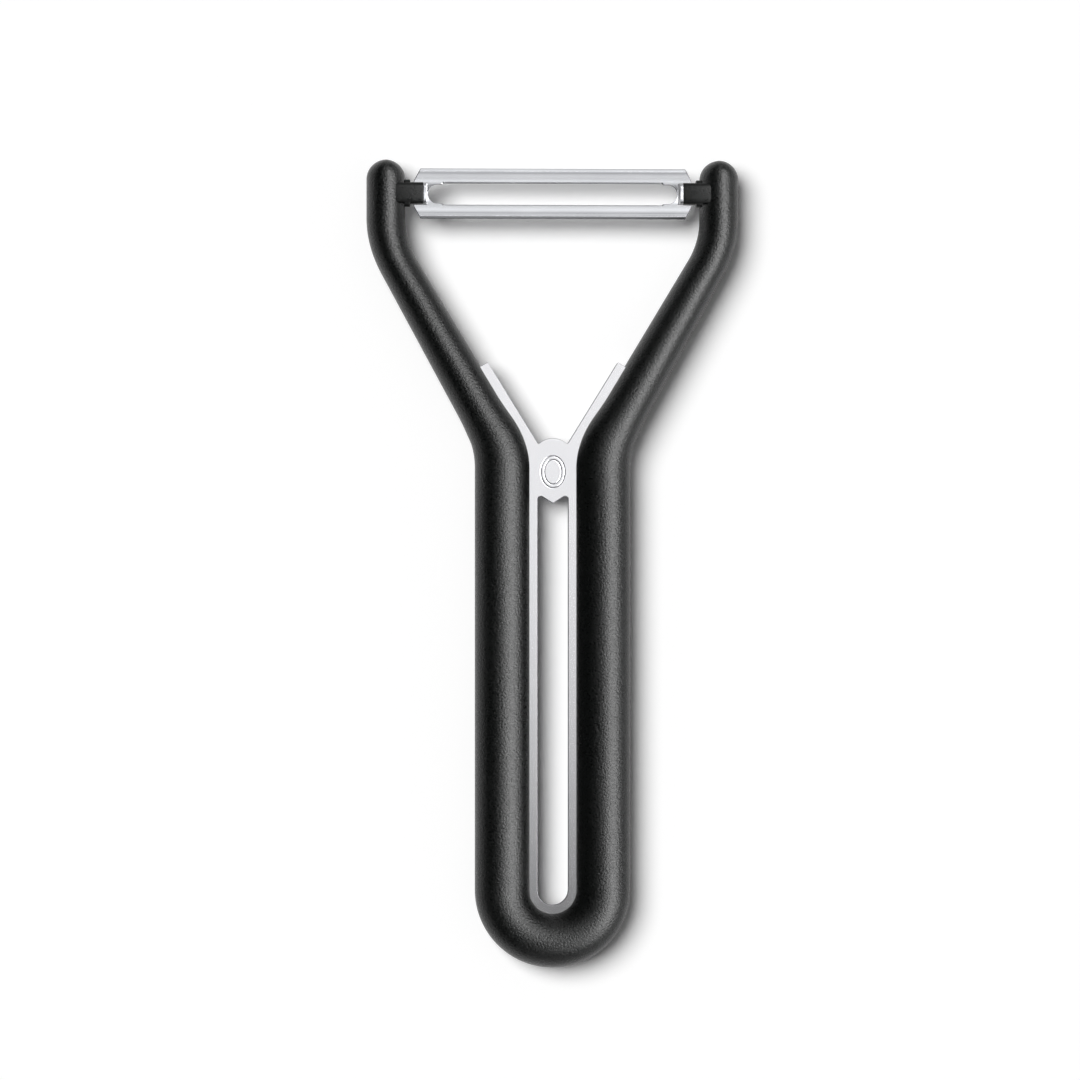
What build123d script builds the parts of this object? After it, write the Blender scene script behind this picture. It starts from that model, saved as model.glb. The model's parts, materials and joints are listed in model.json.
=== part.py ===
from build123d import *
import os
from math import asin, cos, degrees, radians, sin, sqrt, tan

# A Y-shaped vegetable peeler, lying face up on a table. All lengths are in millimetres.
# X runs along the blade, Y from the butt of the handle to the blade, and Z up to the face.
# The origin is on the table, under the middle of the peeler's length and width.

# The handle is one tube that runs round the butt, up both grips and out along both arms
grip_spacing = 20.86  # between the axes of the two grips
grip_radius = 5.49
grip_length = 90.21  # from the centre of the bend at the butt to the corner of the shoulder
shoulder_radius = 15.5  # of the tube's axis, where grip turns into arm
arm_angle = 29.67  # degrees between grip and arm
arm_length = 47.76  # between the corners of the axis at the shoulder and at the tip
tip_bend_radius = 20.4  # of the tube's axis, where arm turns into tip
tip_length = 13.39  # from the upper corner of the axis to the centre of the round end
arm_foot_width = 9.2  # across the arm just above the shoulder
arm_head_width = 7.46  # across the arm just below the upper bend
tip_width = 7.94
tip_height = 9.9  # how thick the arm is at its tip
neck_length = 3.0  # how far the shoulder's narrowing runs on into the arm
grip_lead = 4.0  # straight grip between the butt's tube and the start of the shoulder
handle_wall = 1.9

# Posts on the back shell pass through the core plate into sockets in the front shell
post_radius = 1.2
post_fit = 0.04
boss_radius = 1.85
socket_depth = 2.0
grip_post_shares = (0.1, 0.5, 0.9)  # of the straight grip
strip_post_share = 0.6  # of the core plate's strip
arm_post_share = 0.6  # of the arm

# The core plate lines the inside of the handle's loop
plate_thickness = 2.4
plate_reach = 1.9  # how far it runs past the tube's axis, inside the shells
plate_fit = 0.03  # to the shells, all round
strip_width = 1.77  # what shows of the plate along each arm
strip_length = 16.7  # from the shoulder's corner, along the arm
slot_width = 6.3
slot_corner = 0.55
tongue_width = 4.4  # the V that points down into the slot's upper end
tongue_drop = 1.4
tongue_corner = 0.35
head_length = 11.9  # from the slot's upper end to the top of the dome
head_rise = 2.1  # the dome's top above the shoulder's corner
dome_rise = 1.28
crotch_corner = 0.3
plate_edge = 0.2
badge_length = 6.8
badge_width = 5.2
badge_line = 0.3
badge_depth = 0.15
badge_drop = 6.9  # its centre under the top of the dome

# Pivot pins, one in each arm
pin_radius = 1.93
pin_depth = 4.4
pin_fit = 0.02
pin_floor = 0.43  # plastic of the front shell between the pin and the joint of the shells
pin_edge = 0.15
pin_drop = 2.98  # the pin's axis below the centre of the tip's round end
collar_radius = 2.78
collar_thickness = 0.95
journal_radius = 1.1
journal_fit = 0.06
journal_play = 0.12  # along the axis, between a pin's shoulder and the blade's ear
stop_width = 1.0  # of the key under the pin that limits the blade's swing
stop_overhang = 0.9  # how far the key reaches past the blade's sheet

# Blade, pressed from sheet
blade_width = 10.36
blade_sheet = 0.6
blade_end_gap = 0.75  # to each collar
trough_radius = 7.5
lip_width = 0.63
lip_angle = 50.0  # degrees down from level
corner_length = 1.37
blade_end_width = 5.2  # what the cut corners leave
notch_width = 4.48
notch_depth = 1.95
ear_width = 4.2
ear_web = 0.54  # steel between the ear's hole and the floor of the trough
peel_slot_width = 3.86
peel_slot_land = 0.35  # between the slot's end and the ear
ground_width = 4.32  # the slot between its ground edges
ground_inset = 2.9  # from the slot's end to the start of the grinding
grind_bevel = 0.45

overrun = 2.0  # how far cutting solids run past what they cut

# Derived places along X, Y and Z
grip_x = grip_spacing / 2
arm_turn = radians(arm_angle)
tip_x = grip_x + arm_length * sin(arm_turn)
full_length = grip_x + grip_radius + grip_length + arm_length * cos(arm_turn) + tip_length + tip_width / 2
butt_y = grip_x + grip_radius - full_length / 2
shoulder_y = butt_y + grip_length
upper_y = shoulder_y + arm_length * cos(arm_turn)
tip_y = upper_y + tip_length
middle_z = grip_radius
shoulder_tangent = shoulder_radius * tan(arm_turn / 2)
tip_tangent = tip_bend_radius * tan(arm_turn / 2)
join_y = shoulder_y - shoulder_tangent - grip_lead

# Distances along the arm's axis, from where it leaves the grip
shoulder_start = grip_lead
shoulder_end = shoulder_start + shoulder_radius * arm_turn
neck_end = shoulder_end + neck_length
bend_start = shoulder_end + arm_length - shoulder_tangent - tip_tangent
bend_end = bend_start + tip_bend_radius * arm_turn
arm_end = bend_end + tip_length - tip_tangent
strip_end = shoulder_end + strip_length - shoulder_tangent

# Places of the pins and the blade
pivot_y = tip_y - pin_drop
pivot_z = middle_z + pin_radius + pin_fit + pin_floor
arm_face_x = tip_x - tip_width / 2
collar_x = arm_face_x - collar_thickness
blade_half = collar_x - blade_end_gap
ear_face_x = blade_half - notch_depth
ear_back_x = ear_face_x - blade_sheet
floor_drop = journal_radius + journal_fit + ear_web

with BuildLine(Plane.XY.offset(middle_z)):
    arm_axis = FilletPolyline(
        (grip_x, join_y),
        (grip_x, shoulder_y),
        (tip_x, upper_y),
        (tip_x, tip_y),
        radius=(shoulder_radius, tip_bend_radius),
    )


def eased(place, start, end, low, high):
    """A value that goes from low to high between two places, level at both ends."""
    share = min(max((place - start) / (end - start), 0), 1)
    return low + (high - low) * share * share * (3 - 2 * share)


def half_width(place):
    """Half the tube's width at a distance along the arm's axis."""
    if place <= neck_end:
        narrowing = (shoulder_start + shoulder_end) / 2
        return eased(place, narrowing, neck_end, grip_radius, arm_foot_width / 2)
    if place <= bend_start:
        share = (place - neck_end) / (bend_start - neck_end)
        return arm_foot_width / 2 + (arm_head_width - arm_foot_width) / 2 * share
    return eased(place, bend_start, bend_end, arm_head_width / 2, tip_width / 2)


def half_height(place):
    """Half the tube's thickness at a distance along the arm's axis."""
    return eased(place, shoulder_start, bend_end, grip_radius, tip_height / 2)


def across(place):
    """The plane square to the arm's axis at a distance along it, with its X to the outside."""
    share = place / arm_axis.length
    way = arm_axis % share
    return Plane(origin=arm_axis @ share, x_dir=(way.Y, -way.X, 0), z_dir=way)


def inner_point(place, proud):
    """A point of the plate's outline: off the tube's inner side, at the plate's face."""
    at = across(place)
    rise = plate_thickness / 2 / half_height(place)
    reach = half_width(place) * sqrt(1 - rise * rise) + proud
    return at.origin - at.x_dir * reach


def between(start, end, count):
    """Evenly spaced distances from start to end, without the last one."""
    return [start + (end - start) * step / count for step in range(count)]


def handle_tube(inset, stations, tipped):
    """The tube of the handle, drawn in by inset, with or without the upright tips of its arms."""
    with BuildPart() as tube:
        with BuildLine(Plane.XY.offset(middle_z)):
            Line((-grip_x, join_y), (-grip_x, butt_y))
            RadiusArc((-grip_x, butt_y), (grip_x, butt_y), -grip_x)
            Line((grip_x, butt_y), (grip_x, join_y))
        with BuildSketch(Plane(origin=(-grip_x, join_y, middle_z), z_dir=(0, -1, 0))):
            Circle(grip_radius - inset)
        sweep()
        for place in stations:
            with BuildSketch(across(place)):
                Ellipse(half_width(place) - inset, half_height(place) - inset)
        loft()
        if tipped:
            with BuildSketch(across(bend_end)):
                Ellipse(tip_width / 2, tip_height / 2)
            extrude(amount=arm_end - bend_end)
            with BuildSketch(Plane.XZ.offset(-tip_y)):
                with Locations((tip_x, middle_z)):
                    Ellipse(tip_width / 2, tip_height / 2)
                with Locations((tip_x - tip_width / 2, middle_z)):
                    Rectangle(tip_width, tip_height + overrun, mode=Mode.INTERSECT)
            revolve(axis=Axis((tip_x, tip_y, middle_z), (0, 0, 1)), revolution_arc=-180)
        split(bisect_by=Plane.YZ, keep=Keep.TOP)
        mirror(about=Plane.YZ)
    return tube.part


bends = (
    between(0, shoulder_start, 2)
    + between(shoulder_start, shoulder_end, 4)
    + between(shoulder_end, neck_end, 2)
    + between(neck_end, bend_start, 4)
    + between(bend_start, bend_end, 4)
    + [bend_end]
)
solid_tube = handle_tube(0, bends, tipped=True)
cavity = handle_tube(handle_wall, bends, tipped=False)

# The core plate's outline follows the tube's axis on the outside, the strips and the dome inside
plate_outer_x = grip_x + plate_reach
strip_foot = inner_point(neck_end, strip_width)
strip_tip = inner_point(strip_end, strip_width)
strip_slope = (strip_tip.X - strip_foot.X) / (strip_tip.Y - strip_foot.Y)
dome_y = shoulder_y + head_rise
crotch_y = dome_y - dome_rise
crotch_x = strip_foot.X + (crotch_y - strip_foot.Y) * strip_slope
slot_top_y = dome_y - head_length
plate_corner_y = shoulder_y - plate_reach * tan(arm_turn / 2)
outer_tip = across(strip_end).origin + across(strip_end).x_dir * plate_reach

with BuildSketch() as plate_outline:
    with BuildLine():
        right_side = FilletPolyline(
            (plate_outer_x, butt_y),
            (plate_outer_x, plate_corner_y),
            (outer_tip.X, outer_tip.Y),
            radius=shoulder_radius - plate_reach,
        )
        right_tip = Polyline(
            (outer_tip.X, outer_tip.Y),
            (strip_tip.X, strip_tip.Y),
            (crotch_x, crotch_y),
        )
        mirror(right_side, about=Plane.YZ)
        mirror(right_tip, about=Plane.YZ)
        ThreePointArc((crotch_x, crotch_y), (0, dome_y), (-crotch_x, crotch_y))
        RadiusArc((-plate_outer_x, butt_y), (plate_outer_x, butt_y), -plate_outer_x)
    make_face()

# Posts stand on the tube's axis: some pass through the plate, others join the shells alone
grip_run = join_y - butt_y
plate_posts = [(0, butt_y - grip_x)]
arm_posts = []
for side in (1, -1):
    for share in grip_post_shares:
        plate_posts.append((side * grip_x, butt_y + grip_run * share))
    on_strip = across(shoulder_end + (strip_end - shoulder_end) * strip_post_share).origin
    plate_posts.append((side * on_strip.X, on_strip.Y))
    on_arm = across(shoulder_end + (bend_start - shoulder_end) * arm_post_share).origin
    arm_posts.append((side * on_arm.X, on_arm.Y))

# Heights of the posts above or below the joint of the shells
plate_seat = plate_thickness / 2 + plate_fit
boss_end = tip_height / 2 - handle_wall / 2

# Core plate
with BuildPart() as core_plate:
    with BuildSketch(Plane.XY.offset(middle_z)):
        add(plate_outline.sketch)
    extrude(amount=plate_thickness / 2, both=True)
    crotches = core_plate.edges().filter_by(Axis.Z).filter_by_position(
        Axis.Y, crotch_y - plate_edge, crotch_y + plate_edge
    )
    fillet(crotches, crotch_corner)
    with BuildSketch(Plane.XY.offset(middle_z)) as hanging_slot:
        with BuildLine():
            Polyline(
                (slot_width / 2, butt_y),
                (slot_width / 2, slot_top_y),
                (tongue_width / 2, slot_top_y),
                (0, slot_top_y - tongue_drop),
                (-tongue_width / 2, slot_top_y),
                (-slot_width / 2, slot_top_y),
                (-slot_width / 2, butt_y),
            )
            RadiusArc((-slot_width / 2, butt_y), (slot_width / 2, butt_y), -slot_width / 2)
        make_face()
        ends = hanging_slot.vertices().group_by(Axis.Y)[-1].sort_by(Axis.X)
        fillet([ends[0], ends[-1]], slot_corner)
        tongue = hanging_slot.vertices().filter_by_position(
            Axis.X, -tongue_width / 2 - plate_edge, tongue_width / 2 + plate_edge
        )
        fillet(tongue, tongue_corner)
    extrude(amount=plate_thickness, both=True, mode=Mode.SUBTRACT)
    faces = core_plate.faces().filter_by(Axis.Z)
    chamfer(faces.edges(), plate_edge)
    with BuildSketch(Plane.XY.offset(middle_z + plate_thickness / 2)):
        with Locations((0, dome_y - badge_drop)):
            Ellipse(badge_width / 2, badge_length / 2)
            Ellipse(badge_width / 2 - badge_line, badge_length / 2 - badge_line, mode=Mode.SUBTRACT)
    extrude(amount=-badge_depth, mode=Mode.SUBTRACT)
    with BuildSketch(Plane.XY.offset(middle_z)):
        with Locations(*plate_posts):
            Circle(post_radius + post_fit)
    extrude(amount=plate_thickness, both=True, mode=Mode.SUBTRACT)


def shell_blank(keep):
    """Half of the hollow tube, on one side of the joint, open where the core plate leaves it."""
    with BuildPart() as shell:
        add(solid_tube)
        add(cavity, mode=Mode.SUBTRACT)
        split(bisect_by=Plane.XY.offset(middle_z), keep=keep)
        with BuildSketch(Plane.XY.offset(middle_z)):
            add(plate_outline.sketch)
            offset(amount=plate_fit)
        extrude(amount=plate_seat, both=True, mode=Mode.SUBTRACT)
    return shell.part


# Front shell, with the sockets and the bores for the pivot pins
with BuildPart() as handle_front_shell:
    add(shell_blank(Keep.TOP))
    for seat, places in ((plate_seat, plate_posts), (0, arm_posts)):
        with BuildSketch(Plane.XY.offset(middle_z + seat)):
            with Locations(*places):
                Circle(boss_radius)
        extrude(amount=boss_end - seat)
        with BuildSketch(Plane.XY.offset(middle_z + seat)):
            with Locations(*places):
                Circle(post_radius + post_fit)
        extrude(amount=socket_depth, mode=Mode.SUBTRACT)
    for side in (1, -1):
        with BuildSketch(Plane.YZ.offset(side * (arm_face_x + pin_depth))):
            with Locations((pivot_y, pivot_z)):
                Circle(pin_radius + pin_fit)
        extrude(amount=-side * (pin_depth + overrun), mode=Mode.SUBTRACT)

# Back shell, with the posts
with BuildPart() as handle_back_shell:
    add(shell_blank(Keep.BOTTOM))
    for seat, places in ((plate_seat, plate_posts), (0, arm_posts)):
        with BuildSketch(Plane.XY.offset(middle_z - seat)):
            with Locations(*places):
                Circle(boss_radius)
        extrude(amount=-(boss_end - seat))
        with BuildSketch(Plane.XY.offset(middle_z - seat)):
            with Locations(*places):
                Circle(post_radius)
        extrude(amount=seat * 2 + socket_depth - post_fit)


def pivot_pin(side):
    """A pin pressed into one arm: shank, collar, peg, journal and the key that stops the blade."""
    peg_end = ear_face_x + journal_play
    with BuildPart() as pin:
        with BuildSketch(Plane.YZ.offset(side * (arm_face_x + pin_depth - pin_fit))):
            with Locations((pivot_y, pivot_z)):
                Circle(pin_radius)
        extrude(amount=-side * (arm_face_x + pin_depth - pin_fit - peg_end))
        ends = pin.edges().group_by(Axis.X)
        chamfer([ends[0], ends[-1]], pin_edge)
        with BuildSketch(Plane.YZ.offset(side * (arm_face_x - pin_fit))):
            with Locations((pivot_y, pivot_z)):
                Circle(collar_radius)
        extrude(amount=-side * (collar_thickness - pin_fit))
        with BuildSketch(Plane.YZ.offset(side * collar_x)):
            with Locations((pivot_y, pivot_z - floor_drop - blade_sheet - stop_overhang)):
                Rectangle(
                    stop_width,
                    floor_drop + blade_sheet + stop_overhang,
                    align=(Align.CENTER, Align.MIN),
                )
        extrude(amount=-side * (collar_x - peg_end))
        with BuildSketch(Plane.YZ.offset(side * peg_end)):
            with Locations((pivot_y, pivot_z)):
                Circle(journal_radius)
        extrude(amount=-side * (peg_end - ear_back_x))
    return pin.part


left_pivot_pin = pivot_pin(-1)
right_pivot_pin = pivot_pin(1)

# The blade's section, drawn about the pivot's axis: a round trough between two sloping lips
crest_y = blade_width / 2 - lip_width
crest_turn = asin(crest_y / trough_radius)
under_radius = trough_radius + blade_sheet
lip_turn = radians(lip_angle)
trough_z = trough_radius - floor_drop
crest_z = trough_z - trough_radius * cos(crest_turn)
lip_z = crest_z - lip_width * tan(lip_turn)
lip_under_y = blade_width / 2 - blade_sheet * sin(lip_turn)
lip_under_z = lip_z - blade_sheet * cos(lip_turn)

# Where the lip's underside meets the trough's: a line cut by a circle
line_y = -cos(lip_turn)
line_z = sin(lip_turn)
along = lip_under_y * line_y + (lip_under_z - trough_z) * line_z
off_square = lip_under_y**2 + (lip_under_z - trough_z) ** 2 - under_radius**2
reach = -along - sqrt(along * along - off_square)
crease_y = lip_under_y + line_y * reach
crease_z = lip_under_z + line_z * reach

# The grinding that turns the slot's long sides into cutting edges
edge_z = trough_z - sqrt(under_radius**2 - (ground_width / 2) ** 2)
grind_slope = grind_bevel / blade_sheet
grind_low = ground_width / 2 - grind_slope * blade_sheet
grind_high = ground_width / 2 + grind_slope * blade_sheet * 2

# Blade
blade_plane = Plane(origin=(0, pivot_y, pivot_z), x_dir=(0, 1, 0), z_dir=(1, 0, 0))
peel_slot_length = 2 * (ear_back_x - peel_slot_land)
with BuildPart() as blade:
    with BuildSketch(blade_plane):
        with BuildLine():
            ThreePointArc((-crest_y, crest_z), (0, -floor_drop), (crest_y, crest_z))
            Polyline(
                (crest_y, crest_z),
                (blade_width / 2, lip_z),
                (lip_under_y, lip_under_z),
                (crease_y, crease_z),
            )
            ThreePointArc(
                (crease_y, crease_z), (0, -floor_drop - blade_sheet), (-crease_y, crease_z)
            )
            Polyline(
                (-crease_y, crease_z),
                (-lip_under_y, lip_under_z),
                (-blade_width / 2, lip_z),
                (-crest_y, crest_z),
            )
        make_face()
    extrude(amount=blade_half, both=True)
    with BuildSketch(Plane(origin=(0, pivot_y, pivot_z))):
        with BuildLine():
            corner_x = blade_half - corner_length
            end_y = blade_end_width / 2
            Polyline(
                (blade_half, -end_y),
                (blade_half, end_y),
                (corner_x, blade_width / 2),
                (-corner_x, blade_width / 2),
                (-blade_half, end_y),
                (-blade_half, -end_y),
                (-corner_x, -blade_width / 2),
                (corner_x, -blade_width / 2),
                close=True,
            )
        make_face()
        SlotOverall(peel_slot_length, peel_slot_width, mode=Mode.SUBTRACT)
        for side in (1, -1):
            with Locations((side * (blade_half - notch_depth / 2), 0)):
                Rectangle(notch_depth, notch_width, mode=Mode.SUBTRACT)
    extrude(amount=blade_width, both=True, mode=Mode.INTERSECT)
    with BuildSketch(blade_plane):
        Polygon(
            (-grind_low, edge_z - blade_sheet),
            (grind_low, edge_z - blade_sheet),
            (grind_high, edge_z + blade_sheet * 2),
            (-grind_high, edge_z + blade_sheet * 2),
            align=None,
        )
    extrude(amount=peel_slot_length / 2 - ground_inset, both=True, mode=Mode.SUBTRACT)
    for side in (1, -1):
        with BuildSketch(blade_plane.offset(side * ear_back_x)):
            Circle(ear_width / 2)
            Rectangle(ear_width, floor_drop + blade_sheet / 2, align=(Align.CENTER, Align.MAX))
            Circle(journal_radius + journal_fit, mode=Mode.SUBTRACT)
        extrude(amount=side * blade_sheet)

# Each piece goes to a file of its own
pieces = {
    "handle_front_shell": handle_front_shell.part,
    "handle_back_shell": handle_back_shell.part,
    "core_plate": core_plate.part,
    "left_pivot_pin": left_pivot_pin,
    "right_pivot_pin": right_pivot_pin,
    "blade": blade.part,
}
os.makedirs("parts", exist_ok=True)
for name, piece in pieces.items():
    piece.label = name
    export_step(piece, f"parts/{name}.step")

# How far the blade swings before a wall of its notch meets the key under the pin
wall_z = trough_z - sqrt(under_radius**2 - (notch_width / 2) ** 2)
wall_radius = sqrt((notch_width / 2) ** 2 + wall_z**2)
swing = degrees(asin(notch_width / 2 / wall_radius) - asin(stop_width / 2 / wall_radius))
print("length", round(full_length, 2), "pivot", round(pivot_y, 3), round(pivot_z, 3))
print("blade half length", round(blade_half, 3), "swing to the stop", round(swing, 2), "degrees")
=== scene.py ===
# %% [markdown]
# # A Y-shaped vegetable peeler
# The peeler lies face up on a white table. Its handle is a black plastic tube that runs round the
# butt and up to two tips, and its loop is lined by a flat silver plate. A blade pressed from
# stainless sheet swings between the tips on two black pins.
#
# The construction model already has every part in its place. This lesson dresses it: the curved
# parts get smooth surfaces worked out with numpy, and every part gets its finish.

# %% Load the fixed frame
import json
from itertools import chain
from math import asin, cos, pi, radians, sin, sqrt, tan

import bmesh
import bpy
import numpy as np
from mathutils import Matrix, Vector
from mathutils.geometry import delaunay_2d_cdt


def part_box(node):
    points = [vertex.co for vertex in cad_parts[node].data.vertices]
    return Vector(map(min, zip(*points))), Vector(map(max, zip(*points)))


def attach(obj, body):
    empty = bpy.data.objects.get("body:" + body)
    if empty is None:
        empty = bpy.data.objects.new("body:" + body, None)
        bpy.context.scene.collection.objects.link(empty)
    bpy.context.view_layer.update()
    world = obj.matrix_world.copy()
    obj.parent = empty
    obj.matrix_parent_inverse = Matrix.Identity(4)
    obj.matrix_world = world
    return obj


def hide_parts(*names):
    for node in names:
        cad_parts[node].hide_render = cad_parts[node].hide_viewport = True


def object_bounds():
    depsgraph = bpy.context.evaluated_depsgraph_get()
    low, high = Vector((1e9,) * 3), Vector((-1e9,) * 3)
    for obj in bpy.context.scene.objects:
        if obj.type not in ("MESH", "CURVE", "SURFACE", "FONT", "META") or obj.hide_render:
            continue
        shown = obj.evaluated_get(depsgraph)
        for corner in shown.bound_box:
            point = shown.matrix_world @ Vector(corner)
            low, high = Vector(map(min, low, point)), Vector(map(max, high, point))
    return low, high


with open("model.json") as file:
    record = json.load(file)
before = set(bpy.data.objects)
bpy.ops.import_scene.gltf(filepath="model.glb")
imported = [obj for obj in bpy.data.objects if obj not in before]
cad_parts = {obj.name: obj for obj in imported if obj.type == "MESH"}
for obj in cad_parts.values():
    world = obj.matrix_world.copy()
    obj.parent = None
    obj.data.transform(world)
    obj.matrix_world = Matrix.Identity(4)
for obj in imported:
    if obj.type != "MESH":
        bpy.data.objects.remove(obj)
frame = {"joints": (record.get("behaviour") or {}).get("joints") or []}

cad_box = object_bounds()
mm = 0.001
print("size in mm:", [round((high - low) / mm, 2) for low, high in zip(*cad_box)])

# %% [markdown]
# ## Sizes
# What the frame knows is read from it: how thick the tube is, where its tips end, where the blade
# turns and how long it is. What a box can't tell, such as a bend's radius, is named here once.

# %% Sizes of the handle
front_low, front_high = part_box("handle_front_shell")
plate_low, plate_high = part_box("core_plate")
middle_z = front_low.z
grip_radius = middle_z
grip_x = 10.43 * mm
grip_length = 90.21 * mm
shoulder_radius = 15.5 * mm
arm_turn = radians(29.67)
arm_length = 47.76 * mm
tip_bend_radius = 20.4 * mm
tip_length = 13.39 * mm
tip_half_width = 3.97 * mm
tip_half_height = 4.95 * mm
arm_foot_half = 4.6 * mm
arm_head_half = 3.73 * mm
grip_fullness = 0.40 * mm
arm_fullness = 0.25 * mm
neck_length = 3.0 * mm
butt_y = cad_box[0][1] + grip_radius + grip_x
tip_x = front_high.x - tip_half_width
tip_y = front_high.y - tip_half_width
plate_half = (plate_high.z - plate_low.z) / 2
print("tips' centres in mm:", round(tip_x / mm, 2), round(tip_y / mm, 2))

# %% Sizes of the blade
blade_low, blade_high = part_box("blade")
pivot = Vector(frame["joints"][0]["pos_m"])
blade_half = blade_high.x
blade_half_width = (blade_high.y - blade_low.y) / 2
sheet = 0.6 * mm
trough_radius = 7.5 * mm
floor_drop = 1.7 * mm
lip_width = 0.63 * mm
lip_turn = radians(44)
print("blade in mm:", round(2 * blade_half / mm, 2), "by", round(2 * blade_half_width / mm, 2))

# %% [markdown]
# ## The line that the tube follows
# The tube's axis is straight runs and arcs, one after the other, so its place and its heading at
# any distance from the butt are sums over the stretches passed so far. Working them out for whole
# arrays of distances gives smooth sections without one loop over vertices.

# %% The axis of the handle's tube
shoulder_tangent = shoulder_radius * tan(arm_turn / 2)
tip_tangent = tip_bend_radius * tan(arm_turn / 2)
stretches = [  # length, and how sharply the axis turns left along it
    (grip_x * pi / 2, 1 / grip_x),
    (grip_length - shoulder_tangent, 0),
    (shoulder_radius * arm_turn, -1 / shoulder_radius),
    (arm_length - shoulder_tangent - tip_tangent, 0),
    (tip_bend_radius * arm_turn, 1 / tip_bend_radius),
    (tip_length - tip_tangent, 0),
]
marks = np.cumsum([length for length, bend in stretches])
butt_end, shoulder_start, shoulder_end, bend_start, bend_end, arm_end = marks


def along_axis(distance):
    """Place (x, y) and heading at distances from the butt, negative ones on the left half.

    Each stretch adds its run: a straight one goes on along its heading h, and an arc of
    curvature k adds (sin(h + kt) - sin h) / k and (cos h - cos(h + kt)) / k."""
    side = np.where(distance < 0, -1.0, 1.0)
    left = np.abs(distance)
    x = np.zeros_like(left)
    y = np.full_like(left, butt_y - grip_x)
    heading = np.zeros_like(left)
    start = 0.0
    for length, bend in stretches:
        run = np.clip(left, 0, length)
        if bend:
            x += (np.sin(start + bend * run) - sin(start)) / bend
            y += (cos(start) - np.cos(start + bend * run)) / bend
        else:
            x += run * cos(start)
            y += run * sin(start)
        heading += bend * run
        start += bend * length
        left = left - run
    x += left * np.cos(heading)
    y += left * np.sin(heading)
    return side * x, y, side, heading


def eased(value, start, end, low, high):
    """Goes from low to high between start and end, level at both: 3t squared less 2t cubed."""
    share = np.clip((value - start) / (end - start), 0, 1)
    return low + (high - low) * share * share * (3 - 2 * share)


def half_width(distance):
    """Half the tube's width: full on the grip, narrowing through the shoulder and up the arm."""
    place = np.abs(distance)
    share = (place - shoulder_end) / (bend_start - shoulder_end)
    arm = arm_foot_half + (arm_head_half - arm_foot_half) * share
    foot = eased(place, shoulder_start, shoulder_end + 2 * neck_length, 1, 0)
    low = arm + (grip_radius - arm) * foot
    head = eased(place, bend_start, bend_end, arm_head_half, tip_half_width)
    return np.where(place <= bend_start, low, head)


def fullness(distance):
    """How much wider the tube's inner half is than its outer half."""
    place = np.abs(distance)
    on_arm = eased(place, shoulder_start, shoulder_end, grip_fullness, arm_fullness)
    on_tip = eased(place, bend_start, bend_end, arm_fullness, 0)
    return np.where(place <= bend_start, on_arm, on_tip)


def half_height(distance):
    """Half the tube's thickness, eased from the grip's to the tip's."""
    return eased(np.abs(distance), shoulder_start, bend_end, grip_radius, tip_half_height)


tip_place = along_axis(np.array([arm_end]))
print("the axis ends in mm at", round(tip_place[0][0] / mm, 2), round(tip_place[1][0] / mm, 2))

# %% [markdown]
# ## From arrays to meshes
# A surface that is a grid of points needs only its points: the faces follow from the grid's rows
# and columns. The points of a pole or a seam lie on each other, so they are merged at the end.
# Smooth shading stops at sharp edges: those of more than 40 degrees, or 35 on the blade.

# %% Helpers that make a mesh
merge_reach = 0.0004 * mm
sharp_angle = 40


def finished_mesh(name, points, faces, sharp=sharp_angle, worked_and_shaded=None):
    """An object at the origin, with its doubles merged, its faces outwards and its edges marked.

    The last argument gives every point a share from 0, plain surface, to 1, cut or engraved:
    there the metal turns rougher, and darker as painted shade."""
    mesh = bpy.data.meshes.new(name)
    mesh.from_pydata(points.tolist(), [], faces)
    if worked_and_shaded is not None:
        mesh.attributes.new("worked_and_shaded", "FLOAT", "POINT").data.foreach_set("value", worked_and_shaded)
    mesh.validate()
    made = bpy.data.objects.new(name, mesh)
    bpy.context.scene.collection.objects.link(made)
    work = bmesh.new()
    work.from_mesh(mesh)
    bmesh.ops.remove_doubles(work, verts=work.verts, dist=merge_reach)
    unused = [vert for vert in work.verts if not vert.link_faces]
    bmesh.ops.delete(work, geom=unused, context="VERTS")
    bmesh.ops.recalc_face_normals(work, faces=work.faces)
    work.to_mesh(mesh)
    work.free()
    mesh.shade_smooth()
    mesh.set_sharp_from_angle(angle=radians(sharp))
    print(name, "has", len(mesh.polygons), "faces")
    return made


def grid_faces(rows, columns, first=0):
    """Faces of a grid of points, row after row, with each row's end joined to its start. first
    is the number of the grid's first point."""
    row = np.arange(rows - 1)[:, None] * columns + first
    column = np.arange(columns)[None, :]
    beside = (column + 1) % columns
    corners = (row + column, row + beside, row + columns + beside, row + columns + column)
    return np.stack(np.broadcast_arrays(*corners), axis=-1).reshape(-1, 4).tolist()


# %% [markdown]
# ## The handle's two shells
# The tube is moulded as a front and a back shell, joined at mid height, with a fine parting line.
# Each shell is a profile carried along the axis: half an ellipse, closed below. Towards the tips
# the ellipse narrows as a circle does and sinks later, which rounds them off with a flat top.
# Where the silver plate comes out of the tube, the profile ends on the plate's face instead of at
# the parting line.

# %% Sizes of the shells
plate_fit = 0.03 * mm
parting_half = 0.07 * mm
parting_depth = 0.16 * mm
plate_reach = 1.9 * mm
strip_length = 16.7 * mm
strip_end = shoulder_end + strip_length - shoulder_tangent
plate_seat = plate_half + plate_fit
wall_rise = 1.6 * mm
tip_flatness = 3.2
arc_steps = 60
lip_steps = 6


# %% Places of the sections along the tube
def spaced(start, end, step):
    """Evenly spaced distances from start to end, without the end."""
    count = max(int(round((end - start) / step)), 1)
    return start + (end - start) * np.arange(count) / count


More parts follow.
